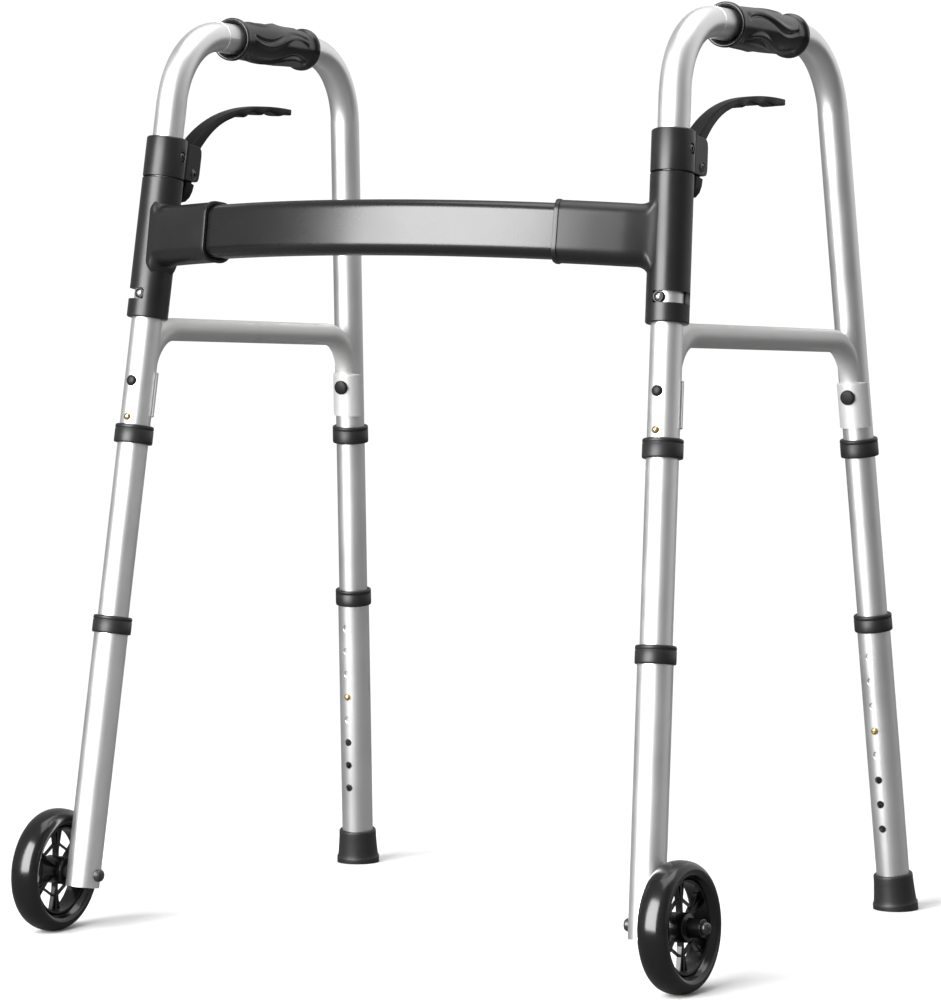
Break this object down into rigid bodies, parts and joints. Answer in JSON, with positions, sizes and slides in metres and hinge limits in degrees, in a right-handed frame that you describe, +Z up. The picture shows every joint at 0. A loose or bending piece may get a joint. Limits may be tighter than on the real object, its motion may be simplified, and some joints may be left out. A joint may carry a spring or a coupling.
{
  "type": "folding walking frame",
  "caption": "Folding walking frame with side frames hinged to a bowed crossbar, telescoping legs, front wheels, rubber rear tips, hand grips and release levers.",
  "frame": {"origin": "centre of the bounding box in plan, on the floor under the wheels and the rubber tips", "axes": "+Z up, -Y the front with the crossbar and the wheels, +Y the user side, +X the right-hand side frame seen from the user; the two sides mirror each other about X = 0"},
  "size_m": [0.7534, 0.6189, 0.9071],
  "materials": {
    "crossbar_finish": "gloss black",
    "black_plastic": "satin black",
    "collar_plastic": "satin black",
    "wheel_plastic": "gloss black",
    "black_steel": "black oxide",
    "anodised_tube": "satin anodised",
    "lower_tube": "satin anodised",
    "brace_tube": "satin anodised",
    "grip_vinyl": "moulded vinyl, glossy",
    "bright_steel": "bright",
    "brass_button": "satin",
    "tip_rubber": "matt black",
    "tyre_rubber": "smooth, glossy black"
  },
  "bodies": {
    "crossbar_unit": {"crossbar": "crossbar_finish", "hub_left": "black_plastic", "hub_right": "black_plastic", "crossbar_screws": "black_steel"},
    "side_frame_left": {"side_tube_left": "anodised_tube", "grip_left": "grip_vinyl", "brace_left": "brace_tube", "brace_bolts_left": "black_steel", "lock_collar_left": "black_plastic", "collar_screw_left": "bright_steel", "stop_button_left": "bright_steel", "middle_leg_front_left": "anodised_tube", "middle_leg_rear_left": "anodised_tube", "joint_rings_left": "collar_plastic", "snap_springs_left": "bright_steel", "lever_pin_left": "bright_steel", "lever_spring_left": "bright_steel"},
    "lever_body_left": {"lever_left": "black_plastic"},
    "upper_button_front_body_left": {"upper_button_front_left": "brass_button"},
    "upper_button_rear_body_left": {"upper_button_rear_left": "brass_button"},
    "height_button_front_body_left": {"height_button_front_left": "brass_button"},
    "height_button_rear_body_left": {"height_button_rear_left": "brass_button"},
    "lower_front_left": {"lower_leg_front_left": "lower_tube", "leg_sleeve_front_left": "collar_plastic", "axle_bolt_left": "black_steel", "axle_nut_left": "black_steel"},
    "lower_rear_left": {"lower_leg_rear_left": "lower_tube", "leg_sleeve_rear_left": "collar_plastic", "rubber_tip_left": "tip_rubber"},
    "wheel_left": {"tyre_left": "tyre_rubber", "wheel_core_left": "wheel_plastic", "wheel_bushes_left": "bright_steel"},
    "side_frame_right": {"side_tube_right": "anodised_tube", "grip_right": "grip_vinyl", "brace_right": "brace_tube", "brace_bolts_right": "black_steel", "lock_collar_right": "black_plastic", "collar_screw_right": "bright_steel", "stop_button_right": "bright_steel", "middle_leg_front_right": "anodised_tube", "middle_leg_rear_right": "anodised_tube", "joint_rings_right": "collar_plastic", "snap_springs_right": "bright_steel", "lever_pin_right": "bright_steel", "lever_spring_right": "bright_steel"},
    "lever_body_right": {"lever_right": "black_plastic"},
    "upper_button_front_body_right": {"upper_button_front_right": "brass_button"},
    "upper_button_rear_body_right": {"upper_button_rear_right": "brass_button"},
    "height_button_front_body_right": {"height_button_front_right": "brass_button"},
    "height_button_rear_body_right": {"height_button_rear_right": "brass_button"},
    "lower_front_right": {"lower_leg_front_right": "lower_tube", "leg_sleeve_front_right": "collar_plastic", "axle_bolt_right": "black_steel", "axle_nut_right": "black_steel"},
    "lower_rear_right": {"lower_leg_rear_right": "lower_tube", "leg_sleeve_rear_right": "collar_plastic", "rubber_tip_right": "tip_rubber"},
    "wheel_right": {"tyre_right": "tyre_rubber", "wheel_core_right": "wheel_plastic", "wheel_bushes_right": "bright_steel"}
  },
  "joints": [
    {"name": "fold_left", "type": "hinge", "parent": "crossbar_unit", "child": "side_frame_left", "pos_m": [-0.3117, -0.2479, 0.05922], "axis": [-0.0411, -0.1484, -0.9881], "range_deg": [0, 80]},
    {"name": "lever_left_squeeze", "type": "hinge", "parent": "side_frame_left", "child": "lever_body_left", "pos_m": [-0.28356, -0.1101, 0.74782], "axis": [0.999, 0.0139, -0.0436], "range_deg": [0, 12], "stiffness_Nm_per_rad": 4, "springref_deg": -20.05, "deforming": ["lever_spring_left"]},
    {"name": "upper_button_front_left_press", "type": "slide", "parent": "side_frame_left", "child": "upper_button_front_body_left", "axis": [-0.0203, 0.9888, -0.1477], "range_m": [0, 0.004], "stiffness_N_per_m": 2000, "deforming": ["snap_springs_left"]},
    {"name": "upper_button_rear_left_press", "type": "slide", "parent": "side_frame_left", "child": "upper_button_rear_body_left", "axis": [0.0093, -0.9945, -0.1044], "range_m": [0, 0.004], "stiffness_N_per_m": 2000, "deforming": ["snap_springs_left"]},
    {"name": "height_button_front_left_press", "type": "slide", "parent": "side_frame_left", "child": "height_button_front_body_left", "axis": [0.0203, -0.9888, 0.1477], "range_m": [0, 0.005], "stiffness_N_per_m": 2000, "deforming": ["snap_springs_left"]},
    {"name": "height_button_rear_left_press", "type": "slide", "parent": "side_frame_left", "child": "height_button_rear_body_left", "axis": [-0.0093, 0.9945, 0.1044], "range_m": [0, 0.005], "stiffness_N_per_m": 2000, "deforming": ["snap_springs_left"]},
    {"name": "height_front_left", "type": "slide", "parent": "side_frame_left", "child": "lower_front_left", "axis": [-0.0411, -0.1484, -0.9881], "range_m": [-0.1016, 0.0762], "deforming": ["height_button_front_left"]},
    {"name": "height_rear_left", "type": "slide", "parent": "side_frame_left", "child": "lower_rear_left", "axis": [-0.0448, 0.1039, -0.9936], "range_m": [-0.1016, 0.0762], "deforming": ["height_button_rear_left"]},
    {"name": "wheel_spin_left", "type": "hinge", "parent": "lower_front_left", "child": "wheel_left", "pos_m": [-0.3117, -0.2479, 0.05922], "axis": [0.999, 0.0139, -0.0436], "continuous": true},
    {"name": "fold_right", "type": "hinge", "parent": "crossbar_unit", "child": "side_frame_right", "pos_m": [0.3117, -0.2479, 0.05922], "axis": [-0.0411, 0.1484, 0.9881], "range_deg": [0, 93]},
    {"name": "lever_right_squeeze", "type": "hinge", "parent": "side_frame_right", "child": "lever_body_right", "pos_m": [0.28356, -0.1101, 0.74782], "axis": [0.999, -0.0139, 0.0436], "range_deg": [0, 12], "stiffness_Nm_per_rad": 4, "springref_deg": -20.05, "deforming": ["lever_spring_right"]},
    {"name": "upper_button_front_right_press", "type": "slide", "parent": "side_frame_right", "child": "upper_button_front_body_right", "axis": [0.0203, 0.9888, -0.1477], "range_m": [0, 0.004], "stiffness_N_per_m": 2000, "deforming": ["snap_springs_right"]},
    {"name": "upper_button_rear_right_press", "type": "slide", "parent": "side_frame_right", "child": "upper_button_rear_body_right", "axis": [-0.0093, -0.9945, -0.1044], "range_m": [0, 0.004], "stiffness_N_per_m": 2000, "deforming": ["snap_springs_right"]},
    {"name": "height_button_front_right_press", "type": "slide", "parent": "side_frame_right", "child": "height_button_front_body_right", "axis": [-0.0203, -0.9888, 0.1477], "range_m": [0, 0.005], "stiffness_N_per_m": 2000, "deforming": ["snap_springs_right"]},
    {"name": "height_button_rear_right_press", "type": "slide", "parent": "side_frame_right", "child": "height_button_rear_body_right", "axis": [0.0093, 0.9945, 0.1044], "range_m": [0, 0.005], "stiffness_N_per_m": 2000, "deforming": ["snap_springs_right"]},
    {"name": "height_front_right", "type": "slide", "parent": "side_frame_right", "child": "lower_front_right", "axis": [0.0411, -0.1484, -0.9881], "range_m": [-0.1016, 0.0762], "deforming": ["height_button_front_right"]},
    {"name": "height_rear_right", "type": "slide", "parent": "side_frame_right", "child": "lower_rear_right", "axis": [0.0448, 0.1039, -0.9936], "range_m": [-0.1016, 0.0762], "deforming": ["height_button_rear_right"]},
    {"name": "wheel_spin_right", "type": "hinge", "parent": "lower_front_right", "child": "wheel_right", "pos_m": [0.3117, -0.2479, 0.05922], "axis": [0.999, -0.0139, 0.0436], "continuous": true}
  ]
}
